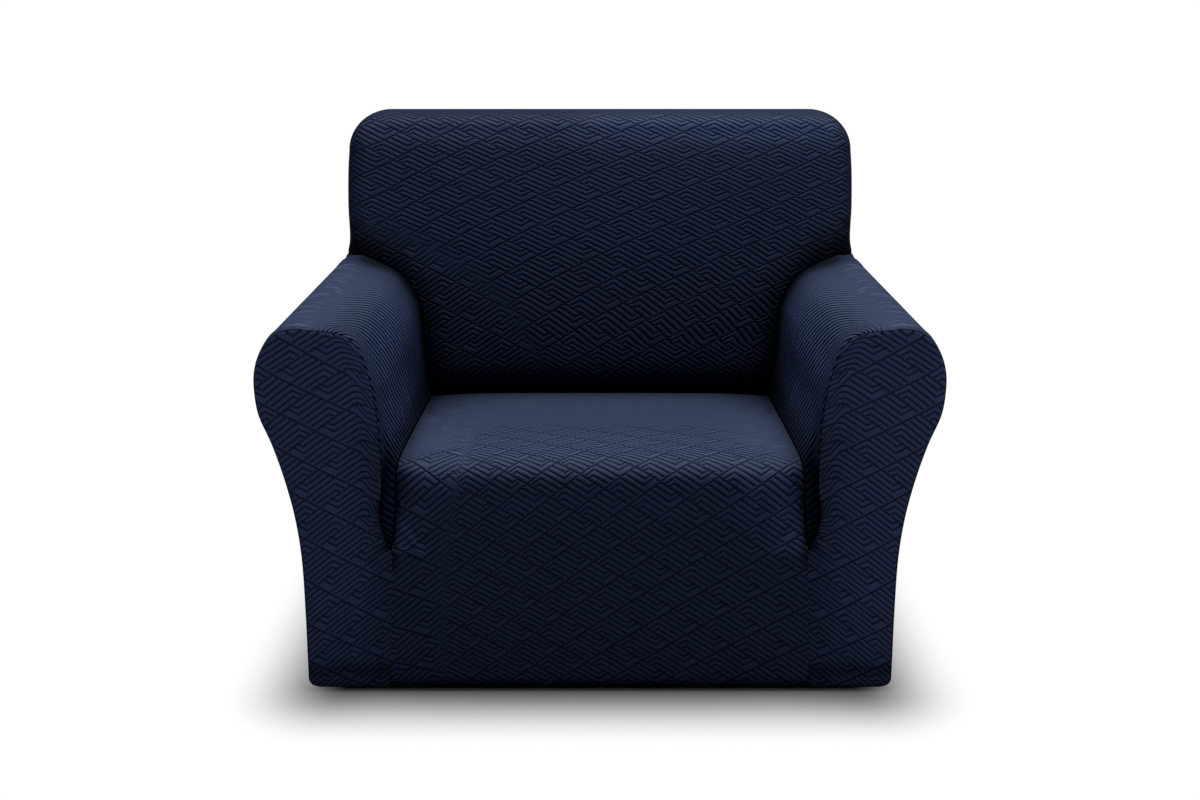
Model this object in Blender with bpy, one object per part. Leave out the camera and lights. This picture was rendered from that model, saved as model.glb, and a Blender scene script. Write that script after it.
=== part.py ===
"""A stretch slipcover for a rolled-arm armchair, fitted, empty and open underneath.

Metres, +Z up, the front towards -Y. Every point is first worked out in the cover's own measures:
out (sideways from the middle plane), depth (back from the arm fronts) and up (above the hem).
The whole cover is then moved so that the origin lies on the underside of the cloth, at the middle of
the back's top, where the chair inside carries it.
"""

from collections import namedtuple
from math import cos, pi, sin

import bmesh
import bpy
from mathutils import Vector
from mathutils.geometry import interpolate_bezier

# ---- cloth ----
CLOTH = 0.0025  # thickness of the stretch cloth
SEAM_GAP = 0.0004  # between two sewn pieces
MERGE = 1e-5
MOST_THICKENING = 1.4  # of the cloth along a seam's bisector, in a sharp crease

# ---- back ----
BACK_TOP = 0.874  # up, the top of the cover
BACK_CORNER = 0.072  # radius of the two top corners, seen from the front
ARM_TOP_REAR = 0.612  # up, where the back's side meets the arm
REAR_FOOT = 0.806  # depth of the rear corners at the hem
REAR_TOP = 0.826  # depth of the rear corners at the back's top
REAR_CROWN = 0.020  # how far the rear panel stands out from its corners

# ---- hem ----
HEM_ROLL = 0.022  # radius of the turn under the chair's base
HEM_TURN = 0.018  # width of the turned-under edge
HEM_LEVEL = 0.0005  # the turned edge's height
HEM_BLEND = 0.200  # how far along a wall the turned-under corner is drawn round
FOOT_HALF = 0.330  # out, where the front's side seams meet the hem

FRONT_CROWN = 0.006  # how far the arm fronts swell
CROWN_RISE = 0.120  # from a panel's end to where its swelling is full
ARCH_FADE = 4  # how soon the arm front's arched top straightens out below it
ARM_MIDDLE = (0.40, 0.44)  # out, between the roll's inner half and its outer half
ARM_SHOULDER = (0.528, 0.578)  # up, where the roll's sides turn into its top
ORIGIN_DEPTH = 0.705  # the middle of the back's top

# How late a row leaves its middle's line on the way to its edges: 1 is straight, more is flatter.
FACE_BOW = 3
FACE_LEVEL_BOW = 2
REAR_BOW = 4
SEAT_BOW = 6

# ---- counts of faces ----
ROLL_STEPS = 3
WALL_STEPS = 4  # up the front, hem roll to the foot of the side slit
SLIT_TO_SHOULDER = 12  # round the arm, from the seat crease to the front patch's inner corner
SHOULDER_TO_CREST = 3
TO_CREST = SLIT_TO_SHOULDER + SHOULDER_TO_CREST
CREASE_STEPS = 4  # up from the seat crease, where a section leaves the crease's depth for its own
CREST_STEPS = 6  # over the roll's top, the front patch's short side
CREST_TO_FOOT = WALL_STEPS + SLIT_TO_SHOULDER + CREST_STEPS - SHOULDER_TO_CREST
SIDE_STEPS = 6  # up the back's side
CORNER_STEPS = 6

# Columns of the seat, the back and the rear panel, as shares of the half width.
HALF_COLUMNS = (0.17, 0.34, 0.51, 0.67, 0.81, 0.91, 0.97, 1.0)
COLUMNS = [-share for share in HALF_COLUMNS[::-1]] + [0.0, *HALF_COLUMNS]

# The arm's outline at its front and at the back's face, from the foot of the slit beside the seat, over
# the roll, down to the hem.
ArmRow = namedtuple("ArmRow", "out up rear_out rear_up")
ARM_OUTLINE = (
    ArmRow(0.319, 0.232, 0.3200, 0.232),
    ArmRow(0.333, 0.265, 0.3200, 0.265),
    ArmRow(0.3365, 0.298, 0.3200, 0.298),
    ArmRow(0.3315, 0.335, 0.3200, 0.335),
    ArmRow(0.331, 0.378, 0.3210, 0.378),
    ArmRow(0.3335, 0.438, 0.3240, 0.440),
    ArmRow(0.340, 0.490, 0.3285, 0.495),
    ArmRow(0.3505, 0.528, 0.3350, 0.531),
    ArmRow(0.364, 0.562, 0.3520, 0.563),
    ArmRow(0.388, 0.579, 0.3780, 0.590),
    ArmRow(0.455, 0.587, 0.4386, 0.617),
    ArmRow(0.477, 0.584, 0.4630, 0.614),
    ArmRow(0.494, 0.574, 0.4795, 0.603),
    ArmRow(0.510, 0.553, 0.4935, 0.580),
    ArmRow(0.521, 0.526, 0.5030, 0.550),
    ArmRow(0.5245, 0.496, 0.5050, 0.516),
    ArmRow(0.520, 0.452, 0.5020, 0.462),
    ArmRow(0.502, 0.405, 0.4890, 0.410),
    ArmRow(0.4855, 0.350, 0.4760, 0.352),
    ArmRow(0.472, 0.288, 0.4670, 0.288),
    ArmRow(0.4645, 0.221, 0.4635, 0.221),
    ArmRow(0.4625, 0.138, 0.4625, 0.138),
    ArmRow(0.4625, 0.022, 0.4625, 0.022),
)
CREST = 10  # the outline's row on top of the roll, where the back's side starts at the rear

# Sections of the arm, front to back, each with its point of the crease beside the seat, and the seat's
# middle line there. ring: the section's depth. edge: how far it is drawn in by the rounded front edge.
Section = namedtuple("Section", "ring edge crease_depth crease_out crease_up seat_depth seat_up")
SECTIONS = (
    Section(0.002, 0.0030, 0.002, 0.3190, 0.232, -0.004, 0.232),
    Section(0.006, 0.0012, 0.016, 0.3190, 0.262, -0.005, 0.268),
    Section(0.013, 0.0000, 0.028, 0.3185, 0.298, -0.004, 0.309),
    Section(0.024, 0.0000, 0.034, 0.3180, 0.334, 0.000, 0.339),
    Section(0.042, 0.0000, 0.046, 0.3165, 0.358, 0.011, 0.361),
    Section(0.078, 0.0000, 0.082, 0.3160, 0.365, 0.038, 0.376),
    Section(0.135, 0.0000, 0.135, 0.3155, 0.366, 0.092, 0.382),
    Section(0.205, 0.0000, 0.205, 0.3150, 0.366, 0.172, 0.383),
    Section(0.285, 0.0000, 0.285, 0.3145, 0.365, 0.262, 0.382),
    Section(0.365, 0.0000, 0.365, 0.3145, 0.363, 0.350, 0.379),
    Section(0.440, 0.0000, 0.440, 0.3150, 0.360, 0.433, 0.374),
    Section(0.505, 0.0000, 0.505, 0.3160, 0.356, 0.503, 0.367),
    Section(0.556, 0.0000, 0.556, 0.3170, 0.353, 0.556, 0.353),
)
ARM_LENGTH = SECTIONS[-1].ring
CREASE_JOIN = 0.030  # above the seat crease, where a section is back on the arm's outline

# The back's side, from the arm to the start of the top corner.
SideRow = namedtuple("SideRow", "out up")
BACK_SIDE = (
    SideRow(0.4775, 0.617),
    SideRow(0.4730, 0.645),
    SideRow(0.4755, 0.700),
    SideRow(0.4755, 0.760),
    SideRow(0.4735, 0.802),
)

# The back's front face on the middle plane, from the seat crease to the start of the top roll.
FaceRow = namedtuple("FaceRow", "depth up")
BACK_FACE = (
    FaceRow(0.556, 0.353),
    FaceRow(0.538, 0.374),
    FaceRow(0.531, 0.408),
    FaceRow(0.534, 0.458),
    FaceRow(0.545, 0.538),
    FaceRow(0.560, 0.628),
    FaceRow(0.578, 0.708),
    FaceRow(0.600, 0.788),
    FaceRow(0.617, 0.835),
)

# The wrap from the back's front face over its sides and top to the rear seam.
# inset: how far inside the outline. share: of the way from the front face to the rear corner.
# low_up: its height on the seam with the arm. corner: how far the arm's outer side is drawn in there.
Wrap = namedtuple("Wrap", "inset share low_up corner")
WRAPS = (
    Wrap(0.0390, 0.000, 0.617, 0.0000),
    Wrap(0.0180, 0.045, 0.617, 0.0000),
    Wrap(0.0040, 0.170, 0.614, 0.0000),
    Wrap(0.0000, 0.420, 0.610, 0.0000),
    Wrap(0.0030, 0.760, 0.607, 0.0030),
    Wrap(0.0170, 1.000, 0.605, 0.0170),
)
SHOULDER_CLEAR = 0.045  # below the wrap, where a section is back on the arm's own outline

NAVY = (0.024, 0.033, 0.062, 1.0)
PIECES = (
    "seat_front",
    "inside_back",
    "outside_back",
    "arm_left",
    "arm_right",
    "arm_front_left",
    "arm_front_right",
)


def mix(a, b, share):
    return a + (b - a) * share


def eased(share):
    """0 to 1 with level ends."""
    share = min(max(share, 0.0), 1.0)
    return share * share * (3 - 2 * share)


def ramp(start, end, value):
    """0 at the start, 1 at the end, eased between them."""
    return eased((value - start) / (end - start))


def smooth_line(points, steps=8):
    """A smooth line through all the points, as a close row of points."""
    points = [Vector(point) for point in points]
    ends = [points[0] * 2 - points[1]] + points + [points[-1] * 2 - points[-2]]
    line = [points[0]]
    for before, start, end, after in zip(ends, ends[1:], ends[2:], ends[3:]):
        lead = start + (end - before) / 6
        follow = end - (after - start) / 6
        line += interpolate_bezier(start, lead, follow, end, steps + 1)[1:]
    return line


def evenly(line, count):
    """count + 1 points at equal distances along a line."""
    reach = [0.0]
    for start, end in zip(line, line[1:]):
        reach.append(reach[-1] + (end - start).length)
    spaced, at = [], 0
    for step in range(count + 1):
        want = reach[-1] * step / count
        while at < len(line) - 2 and reach[at + 1] < want:
            at += 1
        span = reach[at + 1] - reach[at]
        spaced.append(line[at].lerp(line[at + 1], min(1.0, (want - reach[at]) / span)))
    return spaced


def at_height(line, up):
    """The point of a rising (depth, up) line at one height."""
    for start, end in zip(line, line[1:]):
        if end.y >= up:
            return start.lerp(end, min(max((up - start.y) / (end.y - start.y), 0.0), 1.0))
    return line[-1]


FACE_LINE = smooth_line([(row.depth, row.up, 0) for row in BACK_FACE])
SIDE_LINE = smooth_line([(row.out, row.up, 0) for row in BACK_SIDE])


def rear_depth(up):
    return mix(REAR_FOOT, REAR_TOP, up / BACK_TOP)


# ---- arms ----


def drawn_in(point, edge):
    """A point of the outline pulled in from the arm's front edge."""
    side = 2 * ramp(*ARM_MIDDLE, point.x) - 1
    top = ramp(*ARM_SHOULDER, point.y)
    return Vector((point.x - edge * side, point.y - edge * top, 0))


def corner_share(gap):
    """How much of a hem's turn also runs along the wall, at this distance from the wall's end."""
    return max(0.0, 1 - gap / HEM_BLEND) ** 2


def turned_under(foot, inward):
    """The hem below a point of a wall's foot: round under the base, then the turned edge."""
    turn = []
    for step in range(1, ROLL_STEPS + 1):
        angle = pi / 2 * step / ROLL_STEPS
        turn.append((HEM_ROLL * (1 - cos(angle)), HEM_ROLL * (1 - sin(angle))))
    turn.append((HEM_ROLL + HEM_TURN, HEM_LEVEL))
    return [Vector((foot.x, foot.y, 0)) + inward * across + Vector((0, 0, up)) for across, up in turn]


def arm_outline(rows, start=()):
    """The outline through some rows, at the arm's front and at its rear."""
    front = smooth_line([*start, *((row.out, row.up, 0) for row in rows)])
    rear = smooth_line([*start, *((row.rear_out, row.rear_up, 0) for row in rows)])
    return front, rear


def arm_section(number):
    """One section of the right arm, from the crease beside the seat, over the roll, to the hem's edge."""
    section = SECTIONS[number]
    above = [row for row in ARM_OUTLINE[1 : CREST + 1] if row.up > section.crease_up + CREASE_JOIN]
    inner = arm_outline(above, [(section.crease_out, section.crease_up, 0)])
    outer = arm_outline(ARM_OUTLINE[CREST:])
    front, rear = (
        evenly(near, TO_CREST) + evenly(far, CREST_TO_FOOT)[1:] for near, far in zip(inner, outer)
    )
    line = []
    for step, (fore, aft) in enumerate(zip(front, rear)):
        level = aft.y if step <= TO_CREST else ARM_TOP_REAR
        length = at_height(FACE_LINE, level).x if step else ARM_LENGTH
        along = mix(section.crease_depth, section.ring, eased(step / CREASE_STEPS)) / ARM_LENGTH
        point = drawn_in(fore, section.edge).lerp(aft, along)
        line.append(Vector((point.x, along * length, point.y)))
    inward = Vector((-1, corner_share(line[-1].y), 0))
    return line + turned_under(line[-1], inward)


def arm_tail(step):
    """One section of the arm's outer side beside and behind the back, from the back's side to the hem."""
    top = back_edge(0, step)
    wrap = WRAPS[step]
    rows = [row for row in ARM_OUTLINE[CREST + 1 :] if row.rear_up < top.z - SHOULDER_CLEAR]
    wall = [(row.rear_out - wrap.corner, row.rear_up, 0) for row in rows]
    line = []
    for point in evenly(smooth_line([(top.x, top.z, 0)] + wall), CREST_TO_FOOT):
        depth = mix(at_height(FACE_LINE, ARM_TOP_REAR).x, rear_depth(point.y), wrap.share)
        line.append(Vector((point.x, depth, point.y)))
    line[0] = top
    inward = Vector((-1, -corner_share(rear_depth(0) - line[-1].y), 0))
    return line + turned_under(line[-1], inward)


# ---- back ----


def back_edge(place, step):
    """A point of the wrap round the back: up the right side from the arm, then round the top corner."""
    wrap = WRAPS[step]
    corner_out = BACK_SIDE[-1].out - BACK_CORNER
    corner_up = BACK_SIDE[-1].up
    if place == 0 and step == 0:
        return arm_section(len(SECTIONS) - 1)[TO_CREST]
    if place <= SIDE_STEPS:
        side = evenly(SIDE_LINE, SIDE_STEPS)[place]
        out = side.x - wrap.inset
        up = side.y + (wrap.low_up - WRAPS[0].low_up) * (1 - place / SIDE_STEPS)
        face_up = side.y
    else:
        angle = pi / 2 * (place - SIDE_STEPS) / CORNER_STEPS
        radius = BACK_CORNER - wrap.inset
        out = corner_out + radius * cos(angle)
        up = corner_up + radius * sin(angle)
        face_up = corner_up + (BACK_CORNER - WRAPS[0].inset) * sin(angle)
    depth = mix(at_height(FACE_LINE, face_up).x, rear_depth(up), wrap.share)
    return Vector((out, depth, up))


def across(middle, edge, power, level_power):
    """A row from the left edge to the right one, bowed from the middle's depth and height to the edge's."""
    row = []
    for share in COLUMNS:
        size = abs(share)
        row.append(
            Vector(
                (
                    edge.x * share,
                    mix(middle.y, edge.y, size**power),
                    mix(middle.z, edge.z, size**level_power),
                )
            )
        )
    return row


def inside_back():
    """The face between the arms and above them, then the wrap over the sides and the top."""
    last = arm_section(len(SECTIONS) - 1)
    edge = last[:TO_CREST] + [back_edge(place, 0) for place in range(SIDE_STEPS + CORNER_STEPS + 1)]
    middle = [Vector((0, p.x, p.y)) for p in evenly(FACE_LINE, len(edge) - 1)]
    face = [across(m, e, FACE_BOW, FACE_LEVEL_BOW) for m, e in zip(middle, edge)]
    wrap = []
    for step in range(len(WRAPS)):
        side = [back_edge(place, step) for place in range(SIDE_STEPS + CORNER_STEPS + 1)]
        top = across(side[-1], side[-1], 1, 1)[1:-1]
        wrap.append(mirrored(side) + top + side[::-1])
    return [face, wrap]


def outside_back():
    """The rear panel, from the hem to the back's top."""
    last = len(WRAPS) - 1
    side = [back_edge(place, last) for place in range(1, SIDE_STEPS + CORNER_STEPS + 1)]
    edge = arm_tail(last)[::-1] + side
    hem = turned_under(Vector((0, rear_depth(0), HEM_ROLL)), Vector((0, -1, 0)))[::-1]
    top = edge[-1].z
    walls = len(edge) - len(hem) - 1
    heights = [mix(HEM_ROLL, top, step / walls) for step in range(walls + 1)]
    middle = hem + [Vector((0, rear_depth(up), up)) for up in heights]
    for point in middle:
        point.y += REAR_CROWN * ramp(top, top - CROWN_RISE, point.z)
    return [[across(m, e, REAR_BOW, FACE_LEVEL_BOW) for m, e in zip(middle, edge)]]


# ---- front ----


def front_seam():
    """The seam between the skirt and the arm front, from the hem's edge to the foot of the slit."""
    slit = arm_section(0)[0]
    foot = Vector((FOOT_HALF, slit.y, HEM_ROLL))
    hem = turned_under(foot, Vector((0, 1, 0)))[::-1]
    return hem + [foot.lerp(slit, step / WALL_STEPS) for step in range(WALL_STEPS)] + [slit]


def seat_front():
    """The skirt, the rounded front edge and the seat, in one length of cloth."""
    edge = front_seam() + [arm_section(row)[0] for row in range(1, len(SECTIONS))]
    middle = [Vector((0, p.y, p.z)) for p in front_seam()[:-1]]
    middle += [Vector((0, s.seat_depth, s.seat_up)) for s in SECTIONS]
    for point in middle[ROLL_STEPS + 1 : -len(SECTIONS)]:
        point.y += (SECTIONS[0].seat_depth - SECTIONS[0].ring) * eased(point.z / SECTIONS[0].seat_up)
    return [[across(m, e, SEAT_BOW, SEAT_BOW) for m, e in zip(middle, edge)]]


def arm_front():
    """The scroll-shaped front, a patch drawn between its four sides."""
    outline = arm_section(0)
    inner = front_seam() + outline[1 : SLIT_TO_SHOULDER + 1]
    outer = outline[SLIT_TO_SHOULDER + CREST_STEPS :][::-1]
    top = outline[SLIT_TO_SHOULDER : SLIT_TO_SHOULDER + CREST_STEPS + 1]
    rows = []
    last = len(inner) - 1
    for step, (left, right) in enumerate(zip(inner, outer)):
        row = []
        for column, peak in enumerate(top):
            wide = column / CREST_STEPS
            arch = peak - inner[-1].lerp(outer[-1], wide)
            point = left.lerp(right, wide) + arch * (step / last) ** ARCH_FADE
            point.y -= FRONT_CROWN * 4 * wide * (1 - wide) * ramp(HEM_ROLL, HEM_ROLL + CROWN_RISE, point.z)
            row.append(point)
        rows.append(row)
    rows[-1] = top
    return [rows]


def arm():
    """The arm's inner side, roll and outer side, to the rear seam."""
    fore = [arm_section(row) for row in range(len(SECTIONS))]
    rear = [fore[-1][TO_CREST:]] + [arm_tail(step) for step in range(1, len(WRAPS))]
    return [fore, rear]


# ---- the whole cover ----


def mirrored(line):
    return [Vector((-p.x, p.y, p.z)) for p in line]


def lay(bm, rows, piece, marks):
    """One grid of cloth through rows of points."""
    grid = bmesh.ops.create_grid(bm, x_segments=len(rows[0]) - 1, y_segments=len(rows) - 1, size=1)
    places = [point for row in rows for point in row]
    for vert, place in zip(grid["verts"], places):
        vert.co = place
    for face in {face for vert in grid["verts"] for face in vert.link_faces}:
        face[marks] = PIECES.index(piece)


def whole_cover():
    """Every piece's outer face in one mesh, joined along the seams, with the piece marked on each face."""
    bm = bmesh.new()
    marks = bm.faces.layers.int.new("piece")
    for piece, sheets in (
        ("seat_front", seat_front()),
        ("inside_back", inside_back()),
        ("outside_back", outside_back()),
        ("arm_right", arm()),
        ("arm_front_right", arm_front()),
    ):
        for rows in sheets:
            lay(bm, rows, piece, marks)
            if piece.endswith("right"):
                lay(bm, [mirrored(row) for row in rows], piece.replace("right", "left"), marks)
    bmesh.ops.remove_doubles(bm, verts=bm.verts, dist=MERGE)
    bmesh.ops.recalc_face_normals(bm, faces=bm.faces)
    return bm


def off_the_seam(vert, outward):
    """How a vertex on a piece's edge is drawn back along the surface, away from the seams it lies on."""
    away = Vector()
    for edge in vert.link_edges:
        if edge.is_boundary:
            along = (edge.other_vert(vert).co - vert.co).normalized()
            inside = edge.link_faces[0].calc_center_median() - vert.co
            away += (inside - along * inside.dot(along)).normalized()
    away -= outward * away.dot(outward) / outward.length_squared
    return away.normalized() * SEAM_GAP / 2


def cut_out(cover, piece):
    """One piece as a closed sheet of cloth, drawn back a little from its seams."""
    bm = cover.copy()
    outward = bm.verts.layers.float_vector["outward"]
    order = bm.verts.layers.int["order"]
    marks = bm.faces.layers.int["piece"]
    others = [face for face in bm.faces if face[marks] != PIECES.index(piece)]
    bmesh.ops.delete(bm, geom=others, context="FACES")
    shifts = {vert: off_the_seam(vert, vert[outward]) for vert in bm.verts if vert.is_boundary}
    for vert, shift in shifts.items():
        vert.co += shift
    made = bmesh.ops.extrude_face_region(bm, geom=bm.faces[:])
    inner = {item for item in made["geom"] if isinstance(item, bmesh.types.BMVert)}
    for vert in inner:
        vert.co -= vert[outward] * CLOTH
    for face in [face for face in bm.faces if 0 < len(inner.intersection(face.verts)) < 4]:
        ends = sorted(face.verts, key=lambda vert: (vert in inner, vert[order]))
        bmesh.utils.face_split(face, ends[0], ends[3])
    bmesh.ops.recalc_face_normals(bm, faces=bm.faces)
    return bm


def navy_cloth(name):
    material = bpy.data.materials.new(name + "_cloth")
    material.use_nodes = True
    shader = material.node_tree.nodes["Principled BSDF"]
    shader.inputs["Base Color"].default_value = NAVY
    shader.inputs["Roughness"].default_value = 0.85
    shader.inputs["Metallic"].default_value = 0.0
    material.diffuse_color = NAVY
    return material


def main():
    for thing in list(bpy.data.objects):
        bpy.data.objects.remove(thing)
    cover = whole_cover()
    cover.normal_update()
    outward = cover.verts.layers.float_vector.new("outward")
    order = cover.verts.layers.int.new("order")
    for number, vert in enumerate(cover.verts):
        vert[outward] = vert.normal * min(vert.calc_shell_factor(), MOST_THICKENING)
        vert[order] = number
    origin = Vector((0, ORIGIN_DEPTH, BACK_TOP - CLOTH))
    bmesh.ops.translate(cover, verts=cover.verts, vec=-origin)
    for piece in PIECES:
        bm = cut_out(cover, piece)
        mesh = bpy.data.meshes.new(piece)
        bm.to_mesh(mesh)
        bm.free()
        mesh.shade_smooth()
        mesh.set_sharp_from_angle(angle=pi / 3)
        mesh.materials.append(navy_cloth(piece))
        bpy.context.collection.objects.link(bpy.data.objects.new(piece, mesh))


main()
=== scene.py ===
# Looks of the armchair slipcover: stretch navy cloth with a raised fret, pulled over a rolled-arm chair.
# Every place is first worked out in the cover's own measures (out from the middle, depth behind the arm
# fronts, up from the hem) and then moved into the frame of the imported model.
import math

import bmesh
import bpy
import numpy as np
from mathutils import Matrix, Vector


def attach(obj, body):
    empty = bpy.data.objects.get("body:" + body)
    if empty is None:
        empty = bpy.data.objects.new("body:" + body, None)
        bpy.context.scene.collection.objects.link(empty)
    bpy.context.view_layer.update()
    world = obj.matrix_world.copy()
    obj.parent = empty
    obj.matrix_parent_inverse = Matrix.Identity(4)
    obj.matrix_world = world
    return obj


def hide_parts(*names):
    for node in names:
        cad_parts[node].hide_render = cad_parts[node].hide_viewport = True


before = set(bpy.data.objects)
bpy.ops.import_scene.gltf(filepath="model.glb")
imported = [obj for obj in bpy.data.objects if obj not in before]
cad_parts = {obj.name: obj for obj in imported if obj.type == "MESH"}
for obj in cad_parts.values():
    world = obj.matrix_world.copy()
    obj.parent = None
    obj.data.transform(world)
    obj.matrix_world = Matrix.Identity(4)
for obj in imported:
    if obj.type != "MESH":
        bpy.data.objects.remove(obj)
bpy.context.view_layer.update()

cover = {
    "backTop": 0.874,
    "cloth": 0.0025,
    "originDepth": 0.705,
    "sheet": 0.0019,  # thickness of the shown cloth, ribs not counted
}
origin = np.array([0.0, cover["originDepth"], cover["backTop"] - cover["cloth"]])
floorLevel = -origin[2]

camera = {
    "away": 2.2,  # in front of the arm fronts
    "above": 1.008,  # above the hem
    "down": 13.6,  # degrees
    "lens": 45.0,
    "sensor": 36.0,
}


def eased(share):
    share = np.clip(share, 0, 1)
    return share * share * (3 - 2 * share)


def ramp(start, end, value):
    return eased((value - start) / (end - start))


def smoothRows(rows, places):
    # a smooth line through the rows, read at fractional row numbers
    rows = np.asarray(rows, float)
    ends = np.concatenate([2 * rows[:1] - rows[1:2], rows, 2 * rows[-1:] - rows[-2:-1]])
    places = np.asarray(places, float)
    at = np.clip(np.floor(places).astype(int), 0, len(rows) - 2)
    t = (places - at).reshape((-1,) + (1,) * (rows.ndim - 1))
    a, b, c, d = (ends[at + k] for k in range(4))
    bend, twist = 2 * a - 5 * b + 4 * c - d, 3 * b - a - 3 * c + d
    return b + 0.5 * ((c - a) * t + bend * t**2 + twist * t**3)


def smoothLine(points):
    last, steps = len(points) - 1, 16
    return smoothRows(points, np.linspace(0, last, last * steps + 1))


def alongLine(line, shares):
    # points at shares of a line's length
    reach = np.concatenate([[0], np.cumsum(np.linalg.norm(np.diff(line, axis=0), axis=1))])
    want = np.asarray(shares) * reach[-1]
    return np.stack([np.interp(want, reach, line[:, k]) for k in range(line.shape[1])], axis=1)


def addObject(name, data):
    made = bpy.data.objects.new(name, data)
    bpy.context.collection.objects.link(made)
    return made


def inOrder(places):
    return np.array(sorted({round(place, 6) for place in places}))


def finely(counts, start=(), end=()):
    # 0 to len(counts), each whole step cut into its count, with more places this close to either end
    places = [whole + step / count for whole, count in enumerate(counts) for step in range(count)]
    return inOrder([*places, len(counts), *start, *(len(counts) - gap for gap in end)])


def evenShares(count, beside):
    # from one edge to the other, with one more column close beside each edge
    return inOrder([*np.linspace(-1, 1, count), -beside, beside])


def mirrored(points):
    return points * np.array([-1, 1, 1])


arms = {
    # out and up at the arm's front, then at the back's face
    "outline": [
        (0.319, 0.232, 0.32, 0.232),
        (0.333, 0.265, 0.32, 0.265),
        (0.3365, 0.298, 0.32, 0.298),
        (0.3315, 0.335, 0.32, 0.335),
        (0.331, 0.378, 0.321, 0.378),
        (0.3335, 0.438, 0.324, 0.44),
        (0.34, 0.49, 0.3285, 0.495),
        (0.3505, 0.528, 0.335, 0.531),
        (0.364, 0.562, 0.352, 0.563),
        (0.388, 0.579, 0.378, 0.59),
        (0.455, 0.587, 0.4386, 0.617),
        (0.477, 0.584, 0.463, 0.614),
        (0.494, 0.574, 0.4795, 0.603),
        (0.51, 0.553, 0.4935, 0.58),
        (0.521, 0.526, 0.503, 0.55),
        (0.5245, 0.496, 0.505, 0.516),
        (0.52, 0.452, 0.502, 0.462),
        (0.502, 0.405, 0.489, 0.41),
        (0.4855, 0.35, 0.476, 0.352),
        (0.472, 0.288, 0.467, 0.288),
        (0.4645, 0.221, 0.4635, 0.221),
        (0.4625, 0.138, 0.4625, 0.138),
        (0.4625, 0.022, 0.4625, 0.022),
    ],
    "crest": 10,  # the outline's row on top of the roll
    # ring depth, front edge drawn in, crease depth, out and up, the seat's middle depth and up
    "sections": [
        (0.002, 0.003, 0.002, 0.319, 0.232, -0.004, 0.232),
        (0.006, 0.0012, 0.016, 0.319, 0.262, -0.005, 0.268),
        (0.013, 0.0, 0.028, 0.3185, 0.298, -0.004, 0.309),
        (0.024, 0.0, 0.034, 0.318, 0.334, 0.0, 0.339),
        (0.042, 0.0, 0.046, 0.3165, 0.358, 0.011, 0.361),
        (0.078, 0.0, 0.082, 0.316, 0.365, 0.038, 0.376),
        (0.135, 0.0, 0.135, 0.3155, 0.366, 0.092, 0.382),
        (0.205, 0.0, 0.205, 0.315, 0.366, 0.172, 0.383),
        (0.285, 0.0, 0.285, 0.3145, 0.365, 0.262, 0.382),
        (0.365, 0.0, 0.365, 0.3145, 0.363, 0.35, 0.379),
        (0.44, 0.0, 0.44, 0.315, 0.36, 0.433, 0.374),
        (0.505, 0.0, 0.505, 0.316, 0.356, 0.503, 0.367),
        (0.556, 0.0, 0.556, 0.317, 0.353, 0.556, 0.353),
    ],
    "creaseJoin": 0.03,  # rows closer above the crease than this give way to it
    "middle": (0.4, 0.44),  # out, where a drawn-in edge turns from one side to the other
    "shoulder": (0.528, 0.578),  # up, where it turns toward the top
    "topRear": 0.612,  # up, the arm's top at the back
    "shoulderClear": 0.045,
}
back = {
    "side": [(0.4775, 0.617), (0.473, 0.645), (0.4755, 0.7), (0.4755, 0.76), (0.4735, 0.802)],
    "face": [
        (0.556, 0.353),
        (0.538, 0.374),
        (0.531, 0.408),
        (0.534, 0.458),
        (0.545, 0.538),
        (0.56, 0.628),
        (0.578, 0.708),
        (0.6, 0.788),
        (0.617, 0.835),
    ],
    # inset, share of the way to the rear, height on the arm's seam, how far the rear corner is drawn in
    "wraps": [
        (0.039, 0.0, 0.617, 0.0),
        (0.018, 0.045, 0.617, 0.0),
        (0.004, 0.17, 0.614, 0.0),
        (0.0, 0.42, 0.61, 0.0),
        (0.003, 0.76, 0.607, 0.003),
        (0.017, 1.0, 0.605, 0.017),
    ],
    "corner": 0.072,
    "rearFoot": 0.806,
    "rearTop": 0.826,
    "rearCrown": 0.02,
}
hem = {
    "roll": 0.022,  # radius of the turn under the base
    "turn": 0.018,  # width of the flat part beyond it
    "level": 0.0005,
    "blend": 0.200,  # how far from a corner the turn starts to swing round
    "footHalf": 0.330,  # out to the seam between skirt and arm front
}
front = {
    "crown": 0.006,  # how far the arm's front swells
    "crownRise": 0.120,  # over what height a swell comes in
    "archFade": 4,
}

# whole steps of the solids' grid. Round an arm they run from the crease beside the seat over the shoulder
# and the crest to the foot of the outer side, and then under the hem
hemSteps, wallSteps, shoulderStep, crestStep, footStep = 4, 4, 12, 15, 34
creaseSteps, sideSteps, cornerSteps = 4, 6, 6
armLength = arms["sections"][-1][0]
faceLine = smoothLine(back["face"])
sideLine = smoothLine(back["side"])


def faceDepth(up):
    return np.interp(up, faceLine[:, 1], faceLine[:, 0])


def rearDepth(up):
    return back["rearFoot"] + (back["rearTop"] - back["rearFoot"]) * up / cover["backTop"]


def hemTurn(foot, inward, steps):
    # round under the base, then the turned edge on the last of the hem's steps
    bends = hemSteps - 1
    angle = np.clip(steps / bends, 0, 1) * math.pi / 2
    flat = np.clip(steps - bends, 0, 1)
    across = hem["roll"] * (1 - np.cos(angle)) + hem["turn"] * flat
    up = hem["roll"] * (1 - np.sin(angle)) + hem["level"] * flat
    base = np.array([foot[0], foot[1], 0.0])
    return base + across[:, None] * np.asarray(inward, float) + up[:, None] * np.array([0, 0, 1.0])


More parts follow.
